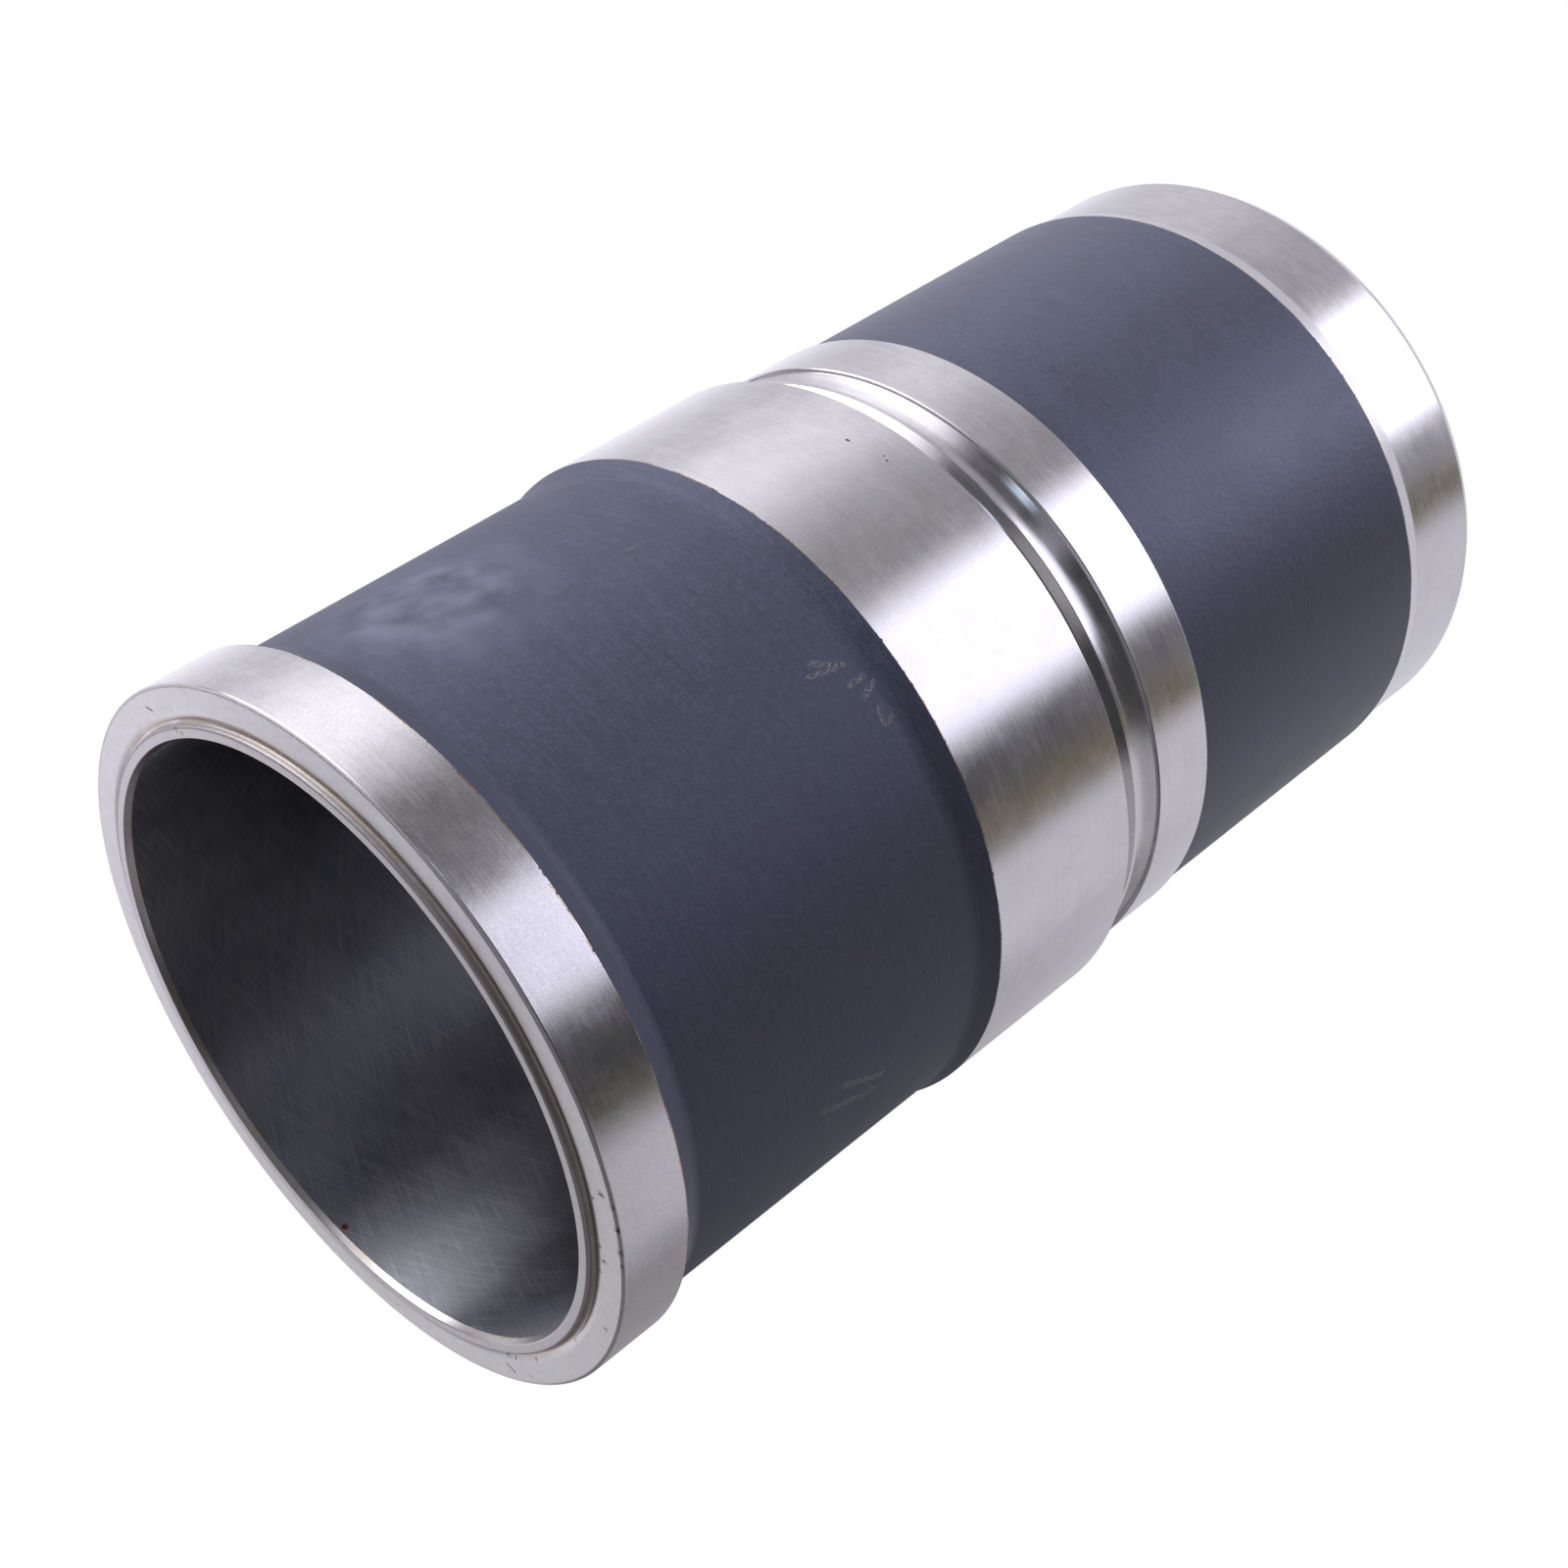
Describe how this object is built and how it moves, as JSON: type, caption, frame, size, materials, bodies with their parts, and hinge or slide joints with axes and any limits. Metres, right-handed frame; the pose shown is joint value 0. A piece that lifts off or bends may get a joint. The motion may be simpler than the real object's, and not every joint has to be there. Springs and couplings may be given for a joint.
{
  "type": "cylinder liner",
  "caption": "Wet cylinder liner of the mid-stop kind: a flanged, stepped iron sleeve with a raised fire ring, a middle seat, an undercut, a seal groove and a lower pilot band.",
  "frame": {"origin": "centre of the circle on which the foot stands, on the bore axis", "axes": "+Z along the bore axis, from the foot towards the flange and its fire ring"},
  "size_m": [0.152, 0.152, 0.2704],
  "materials": {
    "liner_iron": "bare ground and turned iron on the flange, bands, faces and foot, a honed bore, and a matte slate-grey coating over the flange bevel, both wet lengths and the middle bevel"
  },
  "bodies": {
    "root": {"cylinder_liner": "liner_iron"}
  },
  "joints": []
}
